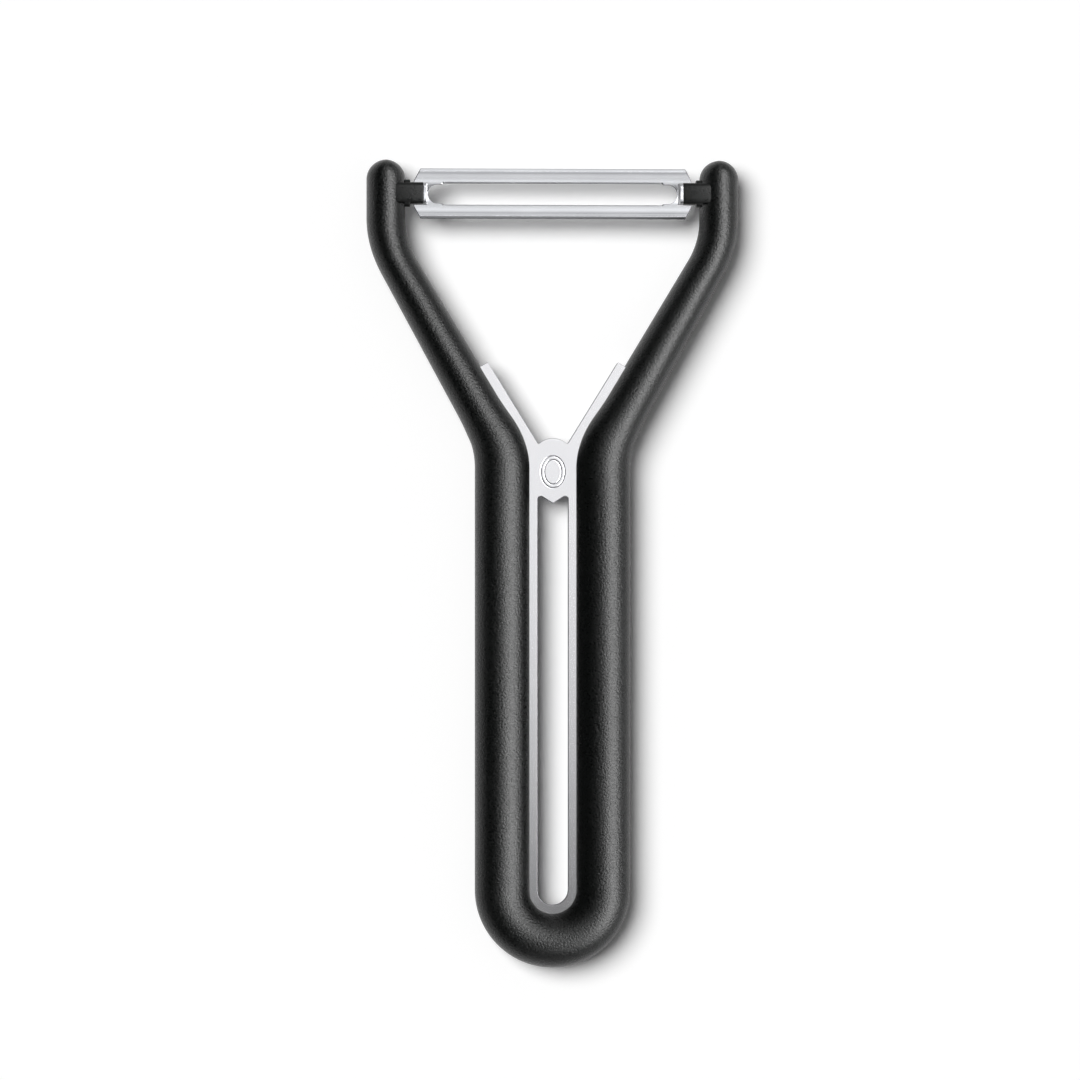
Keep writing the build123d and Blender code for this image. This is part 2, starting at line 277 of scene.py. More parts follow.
butt_step = 0.35 * mm
grip_step = 1.2 * mm
shoulder_step = 0.4 * mm
arm_step = 0.8 * mm
cap_count = 25
cap = tip_half_width * np.sin(np.linspace(0, pi / 2, cap_count))
right_half = np.concatenate([
    spaced(0, butt_end, butt_step),
    spaced(butt_end, shoulder_start, grip_step),
    spaced(shoulder_start, strip_end, shoulder_step),
    spaced(strip_end, bend_start, arm_step),
    spaced(bend_start, arm_end, shoulder_step),
    arm_end + cap,
])
# The profile changes at once where a strip ends, so two sections stand there.
pocket_end = np.searchsorted(right_half, strip_end - merge_reach)
right_half = np.insert(right_half, pocket_end, right_half[pocket_end])
in_pocket = np.arange(len(right_half)) <= pocket_end
sections = np.concatenate([-right_half[:0:-1], right_half])
has_plate = np.concatenate([in_pocket[:0:-1], in_pocket])
print("sections along the tube:", len(sections))


# %% A shell as a profile carried along the axis
def half_tube(name, up):
    """Front shell (up is 1) or back shell (up is -1): one closed profile at every section.

    A point of the profile is (a, b): a sideways from the axis, outwards first, and b upwards.
    On the ellipse a is the half width times cos t and b the half height times sin t. Beside the
    plate the last stretch, below wall_rise, is a straight wall. At a share s of the way over a
    tip, a shrinks by the root of 1 - s squared, and b does the same with tip_flatness as its
    power and root."""
    x, y, side, heading = along_axis(sections)
    beyond = np.clip((np.abs(sections) - arm_end) / tip_half_width, 0, 1)
    shrink = np.sqrt(1 - beyond * beyond)[:, None]
    flatten = ((1 - beyond ** tip_flatness) ** (1 / tip_flatness))[:, None]
    wide = half_width(sections)[:, None]
    high = half_height(sections)[:, None]
    full = wide + fullness(sections)[:, None]
    lowest = np.arcsin(parting_half / high)
    seat = np.arcsin(wall_rise / high)
    turn = lowest + (pi - seat - lowest) * np.linspace(0, 1, arc_steps)[None, :]
    a, b = np.where(turn < pi / 2, wide, full) * np.cos(turn), high * np.sin(turn)
    bare_turn = pi - seat + (seat - lowest) * np.linspace(0, 1, lip_steps + 1)[None, 1:]
    bare_a, bare_b = full * np.cos(bare_turn), high * np.sin(bare_turn)
    pocket_a = a[:, -1:] + parting_depth * np.arange(lip_steps)[None, :]
    pocket_b = np.full_like(pocket_a, plate_seat)
    plated = has_plate[:, None]
    lip_a = np.where(plated, pocket_a, bare_a)
    lip_b = np.where(plated, pocket_b, bare_b)
    seat_b = np.where(plated, plate_seat, 0)
    inner_a = np.where(plated, lip_a[:, -1:] + parting_depth, parting_depth - full)
    reach_a = np.full_like(seat_b, plate_reach)
    foot_a = np.hstack([inner_a, reach_a, reach_a + merge_reach * 2, wide - parting_depth])
    foot_b = np.hstack([seat_b, seat_b, np.zeros_like(seat_b), np.zeros_like(seat_b)])
    a = np.hstack([a, lip_a, foot_a]) * shrink
    b = np.hstack([b, lip_b, foot_b]) * flatten
    out_x, out_y = (side * np.sin(heading))[:, None], -np.cos(heading)[:, None]
    points = np.stack([x[:, None] + out_x * a, y[:, None] + out_y * a, middle_z + up * b], axis=-1)
    return finished_mesh(name, points.reshape(-1, 3), grid_faces(len(sections), a.shape[1]))


handle_front = half_tube("handle_front", 1)
handle_back = half_tube("handle_back", -1)

# %% [markdown]
# ## Cutting sheet metal
# The silver plate and the blade are cut from sheet. A cut sheet is a plan: one outline outside,
# and holes inside. A Delaunay triangulation fills the plan with triangles, and a function then
# lifts every point of it to its height, so the same cutter serves flat and pressed sheets. The
# cut edges are rounded over by a few rings of points, because real edges catch the light.

# %% Outlines
closest = 0.01 * mm  # points of an outline lie no nearer than this
sliver = 0.001  # a share too small to count
corner_limit = 0.2  # the least that a sharp corner's shift is divided by


def rounded(corners, radii, steps=8):
    """A closed outline with its corners rounded: an arc's centre lies on the line that halves
    the corner, at the radius divided by the sine of half the corner's angle."""
    corners = np.array(corners, float)
    back = np.roll(corners, 1, axis=0) - corners
    ahead = np.roll(corners, -1, axis=0) - corners
    back /= np.linalg.norm(back, axis=1)[:, None]
    ahead /= np.linalg.norm(ahead, axis=1)[:, None]
    outline = []
    for corner, a, b, radius in zip(corners, back, ahead, radii):
        if radius == 0:
            outline.append(corner[None, :])
            continue
        half = np.arccos(np.clip(a @ b, -1, 1)) / 2
        middle = (a + b) / np.linalg.norm(a + b)
        centre = corner + middle * radius / sin(half)
        first = corner + a * radius / tan(half) - centre
        last = corner + b * radius / tan(half) - centre
        start = np.arctan2(first[1], first[0])
        sweep = (np.arctan2(last[1], last[0]) - start + pi) % (2 * pi) - pi
        turn = start + sweep * np.linspace(0, 1, steps)
        outline.append(centre + radius * np.stack([np.cos(turn), np.sin(turn)], axis=-1))
    return np.concatenate(outline)


def divided(loop, step, levels=()):
    """A closed outline with points added so that none lie further apart than step, and one
    wherever it crosses a line of equal y in levels."""
    pieces = []
    for start, end in zip(loop, np.roll(loop, -1, axis=0)):
        shares = [0.0]
        count = int(np.ceil(np.linalg.norm(end - start) / step))
        shares += [share / count for share in range(1, count)]
        if start[1] != end[1]:
            crossings = [(level - start[1]) / (end[1] - start[1]) for level in levels]
            shares += [share for share in crossings if sliver < share < 1 - sliver]
        shares = np.array(sorted(shares))
        keep = np.concatenate([[True], np.diff(shares) * np.linalg.norm(end - start) > closest])
        pieces.append(start + (end - start) * shares[keep][:, None])
    return np.concatenate(pieces)


def shrunk(loop, amount):
    """An outline moved into its material, which lies on the left of the way round it. amount is
    one number, or one for every point. corner_limit keeps sharp corners from running far off."""
    ahead = np.roll(loop, -1, axis=0) - loop
    ahead /= np.linalg.norm(ahead, axis=1)[:, None]
    left = np.stack([-ahead[:, 1], ahead[:, 0]], axis=-1)
    before = np.roll(left, 1, axis=0)
    both = np.maximum(1 + (left * before).sum(axis=1), corner_limit)
    return loop + np.reshape(amount, (-1, 1)) * (left + before) / both[:, None]


def inside(points, loops):
    """True for the points in the material: a line from each to the right crosses the outlines
    an odd number of times."""
    crossed = np.zeros(len(points), int)
    x, y = points[:, 0][:, None], points[:, 1][:, None]
    for loop in loops:
        after = np.roll(loop, -1, axis=0)
        spans = (loop[:, 1] > y) != (after[:, 1] > y)
        rise = after[:, 1] - loop[:, 1]
        rise = np.where(rise == 0, 1, rise)
        meets = loop[:, 0] + (y - loop[:, 1]) * (after[:, 0] - loop[:, 0]) / rise
        crossed += (spans & (x < meets)).sum(axis=1)
    return crossed % 2 == 1


# %% Fill a plan with triangles
keep_inside = 1  # the triangulation's setting that leaves out what lies outside
nearness = 1e-6


def filled(loops, fill):
    """The points and triangles that fill a plan, and the number of each loop's points in them.

    Every loop is one area of the triangulation. A triangle in a hole lies in two areas, so the
    material is what lies in the outer one alone."""
    plan = np.concatenate(loops + [fill])
    ends = np.cumsum([0] + [len(loop) for loop in loops])
    spans = [list(range(start, end)) for start, end in zip(ends[:-1], ends[1:])]
    areas = spans[:1] + [span[::-1] for span in spans[1:]]
    given = [Vector(point) for point in (plan / mm).tolist()]
    found = delaunay_2d_cdt(given, [], areas, keep_inside, nearness)
    flat = np.array([tuple(point) for point in found[0]]) * mm
    number = np.zeros(len(plan), int)
    merged = [len(sources) for sources in found[3]]
    number[list(chain.from_iterable(found[3]))] = np.repeat(np.arange(len(flat)), merged)
    triangles = np.array([face for face, area in zip(found[2], found[5]) if area == [0]])
    return flat, triangles, [number[span] for span in spans]


# %% The cutter
edge_hold = 0.03 * mm
rim_turns = [radians(turn) for turn in (0, 30, 60)]


def rim_rings(rim, thickness):
    """The rings of points down a cut edge, each as how far inwards and how deep it lies: a
    quarter circle over the upper edge, a flat wall, and a quarter circle under the lower edge.
    A narrow flat ring beside each rounding keeps its shading off the wall."""
    share = rim / thickness
    hold = edge_hold / thickness
    rounding = [(rim * (1 - sin(turn)), share * (1 - cos(turn))) for turn in rim_turns]
    wall = [(0 * rim, depth) for depth in (share, share + hold, 1 - share - hold, 1 - share)]
    return rounding + wall + [(inwards, 1 - depth) for inwards, depth in rounding[::-1]]


def cut_sheet(name, loops, fill, place, rims, thickness, dulled_and_shaded, sharp=sharp_angle):
    """A sheet cut along loops, the outer one anticlockwise and holes clockwise.

    place(points, depth) lifts points of the plan: depth is 0 on the upper face and 1 on the
    lower. rims gives each loop the radius of its edges, and fill the points of the plan inside.
    The upper and lower faces have a narrow flat ring beside each rounded edge too.
    The function given after the thickness, called with points and depth, tells how dull the metal
    is there, from 0 to 1, and so how much shade is painted on it."""
    inset = [shrunk(loop, rim + edge_hold) for loop, rim in zip(loops, rims)]
    clear = [shrunk(loop, rim + 2 * edge_hold) for loop, rim in zip(loops, rims)]
    flat, triangles, tops = filled(inset, fill[inside(fill, clear)])
    count = len(flat)
    points = [place(flat, np.zeros(count)), place(flat, np.ones(count))]
    worked_and_shaded = [dulled_and_shaded(flat, np.zeros(count)), dulled_and_shaded(flat, np.ones(count))]
    faces = [triangles.tolist(), (triangles[:, ::-1] + count).tolist()]
    made = 2 * count
    for loop, rim, top in zip(loops, rims, tops):
        size = len(loop)
        between = []
        for inwards, depth in rim_rings(rim * np.ones(size), thickness):
            points.append(place(shrunk(loop, inwards), depth))
            worked_and_shaded.append(dulled_and_shaded(loop, np.clip(depth, sliver, 1 - sliver)))
            between.append(np.arange(size) + made)
            made += size
        for above, below in zip([top] + between, between + [top + count]):
            corners = [above, below, np.roll(below, -1), np.roll(above, -1)]
            faces.append(np.stack(corners, axis=-1).tolist())
    points, worked_and_shaded = np.concatenate(points), np.concatenate(worked_and_shaded)
    return finished_mesh(name, points, sum(faces, []), sharp, worked_and_shaded)


# %% [markdown]
# ## The silver plate
# The plate lines the handle's loop: a rail along each grip, a head with a plain engraved double
# ring, and a strip up each arm. Its outer side is hidden in the tube, at a steady reach past the
# axis, so that side is one formula. The engraving is a groove in the height function, deepest on
# two ellipses.

# %% Sizes of the plate
strip_width = 1.77 * mm
slot_half = 3.15 * mm
slot_corner = 0.55 * mm
tongue_half = 2.2 * mm
tongue_drop = 1.4 * mm
tongue_corner = 0.35 * mm
head_length = 11.9 * mm
head_rise = 2.1 * mm
dome_rise = 1.28 * mm
crotch_corner = 0.3 * mm
strip_corner = 0.25 * mm
plate_rim = 0.07 * mm
plate_step = 0.7 * mm
ring_drop = 6.9 * mm
ring_sizes = ((2.45 * mm, 3.25 * mm), (1.75 * mm, 2.5 * mm))
groove_half = 0.15 * mm
groove_depth = 0.08 * mm
shoulder_y = butt_y + grip_length
dome_y = shoulder_y + head_rise
crotch_y = dome_y - dome_rise
slot_top_y = dome_y - head_length
ring_y = dome_y - ring_drop

# %% Outline of the plate
def beside_axis(distance, reach):
    """Points at reach outwards from the tube's axis, or inwards if reach is negative."""
    x, y, side, heading = along_axis(distance)
    return np.stack([x + side * np.sin(heading) * reach, y - np.cos(heading) * reach], axis=-1)


def strip_edge(distance):
    """The free edge of a strip: past the tube's inner side, by the strip's width."""
    place = np.array([distance])
    rise = plate_half / half_height(place)
    full = half_width(place) + fullness(place)
    return beside_axis(place, -(full * np.sqrt(1 - rise * rise) + strip_width))[0]


strip_foot = strip_edge(shoulder_end + neck_length)
strip_tip = strip_edge(strip_end)
slope = (strip_tip[0] - strip_foot[0]) / (strip_tip[1] - strip_foot[1])
crotch_x = strip_foot[0] + (crotch_y - strip_foot[1]) * slope
dome_count, hidden_count, butt_count = 17, 400, 33
dome_radius = (crotch_x ** 2 + dome_rise ** 2) / (2 * dome_rise)
dome_half_turn = asin(crotch_x / dome_radius)
dome_turn = np.linspace(dome_half_turn, -dome_half_turn, dome_count)
dome_drop = dome_radius * (1 - np.cos(dome_turn))
dome = np.stack([dome_radius * np.sin(dome_turn), dome_y - dome_drop], -1)
hidden_side = beside_axis(np.linspace(-strip_end, strip_end, hidden_count), plate_reach)
left_tip = strip_tip * (-1, 1)
corners = np.concatenate([hidden_side, [strip_tip], dome, [left_tip]])
corner_radii = np.zeros(len(corners))
corner_radii[[len(hidden_side), -1]] = strip_corner
corner_radii[[len(hidden_side) + 1, -2]] = crotch_corner
plate_loop = divided(rounded(corners, corner_radii), plate_step)

butt_turn = np.linspace(0, -pi, butt_count)
slot_round = np.stack([np.cos(butt_turn), np.sin(butt_turn)], -1) * slot_half + (0, butt_y)
slot_top = [
    (-slot_half, slot_top_y),
    (-tongue_half, slot_top_y),
    (0, slot_top_y - tongue_drop),
    (tongue_half, slot_top_y),
    (slot_half, slot_top_y),
]
slot_radii = [0] * len(slot_round) + [slot_corner] + [tongue_corner] * 3 + [slot_corner]
slot_loop = divided(rounded(np.concatenate([slot_round, slot_top]), slot_radii), plate_step)
print("plate's outline has", len(plate_loop), "points and its slot", len(slot_loop))


# %% Height of the plate
def engraved(plan):
    """How deep the engraving is, from 0 to 1: it falls off as a cosine with the distance from a
    ring's line. A tiny number keeps the rings' centre from dividing by zero."""
    tiny = 1e-9
    share = np.zeros(len(plan))
    for half_x, half_y in ring_sizes:
        across, down = plan[:, 0] / half_x, (plan[:, 1] - ring_y) / half_y
        out = np.sqrt(across ** 2 + down ** 2) + tiny
        steep = np.sqrt((across / half_x) ** 2 + (down / half_y) ** 2) / out + tiny
        off = np.clip(np.abs(out - 1) / steep / groove_half, 0, 1)
        share += (1 + np.cos(pi * off)) / 2
    return share


def plate_place(plan, depth):
    """A flat sheet with its upper face lowered by the engraving."""
    lowered = groove_depth * engraved(plan) * (depth == 0)
    return np.column_stack([plan, middle_z + plate_half - lowered - 2 * plate_half * depth])


def plate_dulled_and_shaded(plan, depth):
    """The cut edges are dull, and the engraving is, all across its grooves; both are also painted
    darker, as painted shade that draws dark lines along them.
    """
    return np.where(depth == 0, np.sqrt(np.minimum(engraved(plan), 1)), depth < 1)


# %% Cut and engrave the plate
ring_count = 120
ring_offsets = groove_half * np.array([-1.6, -1.2, -0.9, -0.6, -0.3, 0, 0.3, 0.6, 0.9, 1.2, 1.6])
ring_turn = np.linspace(0, 2 * pi, ring_count, endpoint=False)
ring_points = [
    np.stack([(half_x + off) * np.cos(ring_turn), ring_y + (half_y + off) * np.sin(ring_turn)], -1)
    for half_x, half_y in ring_sizes
    for off in ring_offsets
]
plate = cut_sheet("plate", [plate_loop, slot_loop], np.concatenate(ring_points), plate_place,
                  [plate_rim] * 2, 2 * plate_half, plate_dulled_and_shaded)

# %% [markdown]
# ## The blade
# The blade is made as the real one is: cut flat, then pressed. The blank is a long octagon with a
# slot along its middle. At each end a tab is cut free by two slits. The press then bends the blank
# into a round trough with a sloping lip along each side, and turns the two tabs up into the ears
# that hold the pivot pins. Last, the slot's long sides are ground to cutting edges.

# %% Sizes of the blade's blank
corner_length = 1.37 * mm
end_half = 2.6 * mm
notch_half = 2.24 * mm
ear_half = 2.1 * mm
ear_corner = 0.9 * mm
ear_inset = 1.95 * mm
# How dull the ears are; the same share paints them darker, as painted shade over their glint.
ear_dullness_and_shade = 0.5
hole_radius = 1.16 * mm
bend_radius = 0.15 * mm
ear_back = blade_half - ear_inset - sheet
bend_x = ear_back - bend_radius
bend_length = (bend_radius + sheet / 2) * pi / 2
slot_land = 0.35 * mm
slot_end = ear_back - slot_land
slot_half_width = 1.93 * mm
ground_half = 2.16 * mm
unground_length = 2.9 * mm
ground_end = slot_end - unground_length
bevel_width = 0.25 * mm
edge_land = 0.03 * mm
grind_runout = 0.6 * mm
crest_half = blade_half_width - lip_width
crest_round = 0.09 * mm
outer_rim = 0.12 * mm
fine_rim = 0.05 * mm
trough_z = trough_radius - floor_drop
under_radius = trough_radius + sheet
level_half = 3.0 * mm
blade_sharp = 35


# %% Heights of the pressed sheet
def trough_height(y):
    """Upper face across the blade, from the pivot: a circle's arc up to the crest, then the
    lip's slope down. A parabola takes the place of the ridge between them."""
    y = np.abs(y)
    arc = trough_z - np.sqrt(trough_radius ** 2 - np.minimum(y, crest_half) ** 2)
    lip = -np.maximum(y - crest_half, 0) * tan(lip_turn)
    rise = crest_half / sqrt(trough_radius ** 2 - crest_half ** 2)
    near = np.clip(1 - np.abs(y - crest_half) / crest_round, 0, 1)
    return arc + lip - (rise + tan(lip_turn)) * crest_round * near ** 2 / 4


lip_z = float(trough_height(np.array([blade_half_width]))[0])
lip_under_y = blade_half_width - sheet * sin(lip_turn)
lip_under_z = lip_z - sheet * cos(lip_turn)
# The crease of the underside is where the line up the lip's slope meets the lower circle. Its
# distance from the lip's lower edge is a root of a quadratic equation.
along = -lip_under_y * cos(lip_turn) + (lip_under_z - trough_z) * sin(lip_turn)
off_square = lip_under_y ** 2 + (lip_under_z - trough_z) ** 2 - under_radius ** 2
crease_y = lip_under_y - cos(lip_turn) * (-along - sqrt(along ** 2 - off_square))


def under_place(y):
    """Lower face across the blade: y, drawn in from level_half outwards, and the height there."""
    steps = [0, level_half, crest_half, blade_half_width + sheet]
    drawn = [0, level_half, crease_y, lip_under_y + sheet * (lip_under_y - crease_y) / lip_width]
    inner = np.interp(np.abs(y), steps, drawn)
    arc = trough_z - np.sqrt(under_radius ** 2 - np.minimum(inner, crease_y) ** 2)
    lip = -np.maximum(inner - crease_y, 0) * tan(lip_turn)
    return np.sign(y) * inner, arc + lip


# The bevel rises from the cutting edge and ends where it comes through the upper face.
trial_count = 200
edge_z = float(under_place(np.array([ground_half]))[1][0])
bevel_rise = sheet / bevel_width
try_y = np.linspace(ground_half, ground_half + 2 * bevel_width, trial_count)
cleared = edge_z + edge_land + (try_y - ground_half) * bevel_rise - trough_height(try_y)
bevel_end = float(np.interp(0, cleared, try_y))
print("the ground bevel is", round((bevel_end - ground_half) / mm, 2), "mm wide")


def pressed(plan, depth):
    """Blank to blade. Across, a point moves from the upper to the lower face with depth. Along,
    a tab's points turn up round a bend of a quarter circle and then run straight up."""
    side = np.where(plan[:, 0] < 0, -1.0, 1.0)
    x, y = np.abs(plan[:, 0]), plan[:, 1]
    off_edge = np.maximum(np.abs(y) - ground_half, 0)
    ground = edge_z + edge_land + off_edge * bevel_rise
    grinding = eased(x, ground_end, ground_end - grind_runout, 0, 1)
    high = trough_height(y)
    high = high - grinding * np.maximum(high - ground, 0)
    low_y, low_z = under_place(y)
    flat_y = y + (low_y - y) * depth
    flat_z = high + (low_z - high) * depth
    tab = (x > bend_x) & (np.abs(y) < (ear_half + notch_half) / 2)
    turn = np.clip((x - bend_x) / bend_length, 0, 1) * pi / 2
    radius = bend_radius + sheet * depth
    beyond = np.maximum(x - bend_x - bend_length, 0)
    bent_x = bend_x + radius * np.sin(turn)
    bent_z = trough_height(y) + bend_radius - radius * np.cos(turn) + beyond
    out = np.column_stack([
        side * np.where(tab, bent_x, x),
        np.where(tab, y, flat_y),
        np.where(tab, bent_z, flat_z),
    ])
    return out + np.array(pivot)


def on_ear(plan):
    """True on the tabs that become the ears, and along the slits beside them."""
    return (np.abs(plan[:, 0]) > bend_x - bend_radius) & (np.abs(plan[:, 1]) <= notch_half)


def blade_dulled_and_shaded(plan, depth):
    """The cut edges are dull and painted darker, as painted shade along them; the ears get half as
    much, which is painted shade that tones down the glint on their tops.
    """
    return np.where(on_ear(plan), ear_dullness_and_shade, (depth > 0) & (depth < 1))


# %% Outlines of the blank
def in_blank(y, z):
    """Where on the blank a point of an ear lies, from its place beside the pivot."""
    unbent = z - trough_height(np.asarray(y)) - bend_radius
    return np.stack([bend_x + bend_length + unbent, np.broadcast_to(y, unbent.shape)], axis=-1)


ear_count, quarter_count, hole_count, crest_count = 13, 17, 48, 5
outline_step = 0.5 * mm
step_run = 0.2 * mm
ear_turn = np.linspace(0, pi / 2, ear_count)
ear_side = ear_half - ear_corner + ear_corner * np.cos(ear_turn)
ear_top = ear_half - ear_corner + ear_corner * np.sin(ear_turn)
ear_arc = np.concatenate([in_blank(-ear_side, ear_top), in_blank(ear_side, ear_top)[::-1]])
right_end = np.concatenate([
    [(blade_half - corner_length, -blade_half_width), (blade_half, -end_half)],
    [(blade_half, -notch_half), (bend_x, -notch_half), (bend_x, -ear_half)],
    ear_arc,
    [(bend_x, ear_half), (bend_x, notch_half), (blade_half, notch_half)],
    [(blade_half, end_half), (blade_half - corner_length, blade_half_width)],
])
blank_loop = np.concatenate([right_end, -right_end])
crest_rows = crest_half + crest_round * np.linspace(-1, 1, crest_count)
levels = np.concatenate([-crest_rows, crest_rows])
blank_loop = divided(blank_loop, outline_step, levels)
blank_rims = np.where(on_ear(blank_loop), fine_rim, outer_rim)

slot_arc_x = slot_end - slot_half_width
quarter = np.linspace(0, pi / 2, quarter_count)
quarter_x = slot_arc_x + slot_half_width * np.cos(quarter)
quarter_end = np.stack([quarter_x, slot_half_width * np.sin(quarter)], -1)
step_in = [(ground_end, slot_half_width), (ground_end - step_run, ground_half)]
upper_right = np.concatenate([quarter_end, step_in])
upper_left = (upper_right * (-1, 1))[::-1]
upper = np.concatenate([upper_right, upper_left])
peel_loop = divided(np.concatenate([upper, -upper[1:-1]])[::-1], outline_step)
hole_turn = np.linspace(0, -2 * pi, hole_count, endpoint=False)
hole = in_blank(hole_radius * np.sin(hole_turn), hole_radius * np.cos(hole_turn))
holes = [hole, (hole * (-1, 1))[::-1]]
print("blank's outline has", len(blank_loop), "points and its slot", len(peel_loop))

# %% Cut and press the blade
row_step = 0.3 * mm
slot_row_gap = 0.1 * mm
crease_gap = 0.04 * mm
column_step = 0.4 * mm
runout_step = 0.08 * mm
end_step = 0.2 * mm
ear_step = 0.22 * mm
ear_room = 2 * mm
bend_count = 13
rows = np.concatenate([
    crest_rows,
    spaced(bevel_end + crease_gap, crest_rows[0], row_step),
    [slot_half_width + slot_row_gap, ground_half, bevel_end - crease_gap, bevel_end],
    np.arange(0, slot_half_width, row_step),
    [blade_half_width - lip_width / 3],
])
# Rows are rounded to a nanometre, so that those that meet are merged.
rows = np.unique(np.round(np.concatenate([-rows, rows]), 9))
bend_share = np.linspace(0, 1, bend_count)
columns = np.unique(np.concatenate([
    spaced(0, ground_end - grind_runout, column_step),
    spaced(ground_end - grind_runout, ground_end, runout_step),
    spaced(ground_end, bend_x - crease_gap, end_step),
    bend_x - crease_gap + (bend_length + 2 * crease_gap) * bend_share,
    spaced(bend_x + bend_length + end_step, blade_half + ear_room, ear_step),
]))
columns = np.concatenate([-columns[:0:-1], columns])
blank_fill = np.stack(np.meshgrid(columns, rows), axis=-1).reshape(-1, 2)
pressed_blade = cut_sheet("pressed_blade", [blank_loop, peel_loop] + holes, blank_fill, pressed,
                          [blank_rims] + [fine_rim] * 3, sheet, blade_dulled_and_shaded, blade_sharp)

# %% [markdown]
# ## The pivot pins
# Each pin is moulded in one piece: a square peg with soft edges that grows out of the arm, a
# flange that seats it there, and a round journal that runs in the blade's ear. A key hangs under
# the peg, in the notch of the blade, and stops its swing. Peg, flange and key are rounded bars,
# whose sections are superellipses: squares with round corners from one formula. The shapes of a
# pin run into each other, so it needs no cuts.

# %% Sizes of a pin
peg_half_width = 2.21 * mm
peg_half_height = 1.93 * mm
flange_half_width = 2.76 * mm
flange_half_height = 1.7 * mm
flange_thickness = 0.95 * mm
journal_radius = 1.1 * mm
journal_play = 0.03 * mm
stop_half = 0.5 * mm
stop_reach = 0.9 * mm
stop_drop = floor_drop + sheet + stop_reach
edge_round = 0.16 * mm
arm_face = tip_x - tip_half_width
flange_x = arm_face - flange_thickness
peg_end = ear_back + sheet + journal_play


# %% Turned and rounded shapes
bar_power = 5
bar_count = 64
turned_count = 72
round_count = 6


def turned_shape(profile, side):
    """A grid of points: a profile (x, radius) turned about the pivot's axis."""
    turn = np.linspace(0, 2 * pi, turned_count, endpoint=False)
    x = np.repeat(profile[:, :1], turned_count, axis=1)
    y = profile[:, 1:] * np.cos(turn)
    z = profile[:, 1:] * np.sin(turn)
    return np.stack([side * x, y + pivot.y, z + pivot.z], axis=-1)


def rounded_bar(start, end, half, low, high, side):
    """A grid of points: a bar along X. Its sections are superellipses of the power bar_power,
    with y and z as cos t and sin t to the power 2 / bar_power, and its ends are rounded over by
    a quarter circle of edge_round."""
    turn = np.linspace(0, 2 * pi, bar_count, endpoint=False)
    c, s = np.cos(turn), np.sin(turn)
    over = np.linspace(0, pi / 2, round_count)
    inwards = np.concatenate([[half], edge_round * (1 - np.sin(over))])
    drawn = np.concatenate([inwards, inwards[::-1]])[:, None]
    past = np.concatenate([[0], edge_round * (1 - np.cos(over))])
    x = np.concatenate([start + past, (end - past)[::-1]])[:, None]
    tall = (high - low) / 2
    y = (half - drawn) * np.sign(c) * np.abs(c) ** (2 / bar_power)
    z = tall * (1 - drawn / half) * np.sign(s) * np.abs(s) ** (2 / bar_power)
    shape = [side * np.repeat(x, bar_count, 1), y + pivot.y, z + pivot.z + (low + high) / 2]
    return np.stack(shape, axis=-1)


# %% Both pins
def pivot_pin(name, side):
    """A pin as one object of four closed shapes: peg, flange, key and journal."""
    peg = rounded_bar(peg_end, tip_x, peg_half_width, -peg_half_height, peg_half_height, side)
    flange = rounded_bar(flange_x, arm_face + edge_round * 2, flange_half_width,
                         -flange_half_height, flange_half_height, side)
    key = rounded_bar(peg_end, flange_x + edge_round, stop_half, -stop_drop, 0, side)
    corner = edge_round * (1 - np.sin(np.linspace(0, pi / 2, round_count - 1)))
    tip = np.stack([ear_back + corner[::-1], journal_radius - corner], -1)
    profile = np.concatenate([[(ear_back, 0)], tip, [(flange_x, journal_radius), (flange_x, 0)]])
    shapes = [peg, flange, key, turned_shape(profile, side)]
    starts = np.cumsum([0] + [shape.size // 3 for shape in shapes])
    faces = [grid_faces(*shape.shape[:2], first) for shape, first in zip(shapes, starts)]
    points = np.concatenate([shape.reshape(-1, 3) for shape in shapes])
    return finished_mesh(name, points, sum(faces, []))


left_pin = pivot_pin("left_pin", -1)
right_pin = pivot_pin("right_pin", 1)

# %% [markdown]
# ## Finishes
# A finish is more than a colour. The black plastic has a fine moulded grain, which breaks up its
# highlights. The silver plate is satin, with a faint cloudiness. The blade is polished along its
# length, so it has long fine lines. Where the metal was cut or engraved, it is dull, and it is
# painted darker there as painted shade, which draws dark lines along edges and grooves. The
# blade's ears get half of that, which tones down the glint on their tops.

# %% Helpers for nodes
def plug(tree, socket, value):
    """Links an output to a socket, or sets the socket to a plain value."""
    if isinstance(value, bpy.types.NodeSocket):
        tree.links.new(value, socket)
    else:
        socket.default_value = value


def node_maker(tree):
    """A function that adds a node to a tree, and then sets and links it."""

    def node(kind, inputs=(), **settings):
        made = tree.nodes.new(kind)
        for setting, value in settings.items():
            setattr(made, setting, value)
        for socket, value in dict(inputs).items():
            plug(tree, made.inputs[socket], value)
        return made

    return node


def new_material(name):
    """A material, a maker of its nodes, and a function that feeds the inputs of its shader."""
    material = bpy.data.materials.new(name)
    material.use_nodes = True
    tree = material.node_tree
    shader = tree.nodes["Principled BSDF"]

    def feed(inputs):
        for socket, value in inputs.items():
            plug(tree, shader.inputs[socket], value)

    return material, node_maker(tree), feed


# %% Helpers for patterns
noise_roughness = 0.6
noise_low, noise_high = 0.3, 0.7


def noise_on(node, scale, detail, stretch=(1, 1, 1)):
    """Noise on Object coordinates. A stretch below 1 draws it out along that axis."""
    place = node("ShaderNodeTexCoord").outputs["Object"]
    mapping = node("ShaderNodeMapping", {"Vector": place, "Scale": stretch})
    made = node("ShaderNodeTexNoise", {"Vector": mapping.outputs["Vector"], "Scale": scale,
                                       "Detail": detail, "Roughness": noise_roughness})
    return made.outputs["Fac"]


